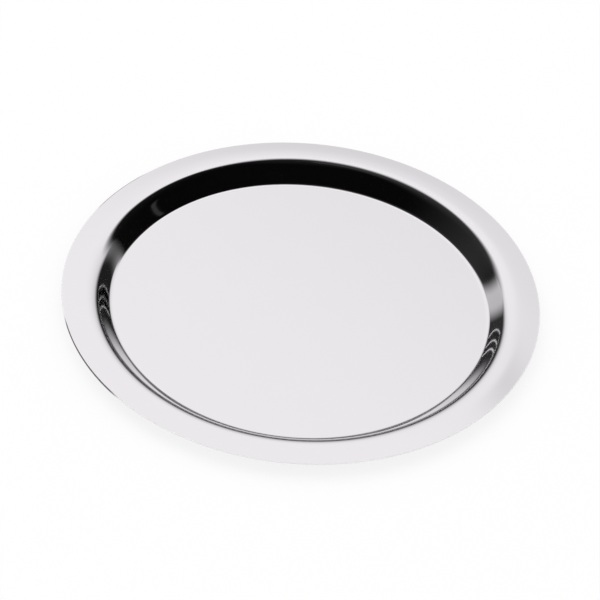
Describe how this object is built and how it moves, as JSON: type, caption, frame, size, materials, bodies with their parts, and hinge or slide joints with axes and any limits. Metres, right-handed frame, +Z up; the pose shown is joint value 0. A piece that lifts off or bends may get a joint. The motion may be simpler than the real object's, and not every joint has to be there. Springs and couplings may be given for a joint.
{
  "type": "coin tray",
  "caption": "Round shallow tray pressed from polished sheet metal, with a flat well for coins and a broad flat rim.",
  "frame": {"origin": "centre of the base, on the surface that the tray stands on", "axes": "+Z up along the tray's axis of revolution; X and Y lie in the base plane and are interchangeable"},
  "size_m": [0.1599, 0.16, 0.0066],
  "materials": {
    "polished_steel": "mirror-polished stainless steel sheet"
  },
  "bodies": {
    "root": {"tray": "polished_steel"}
  },
  "joints": []
}
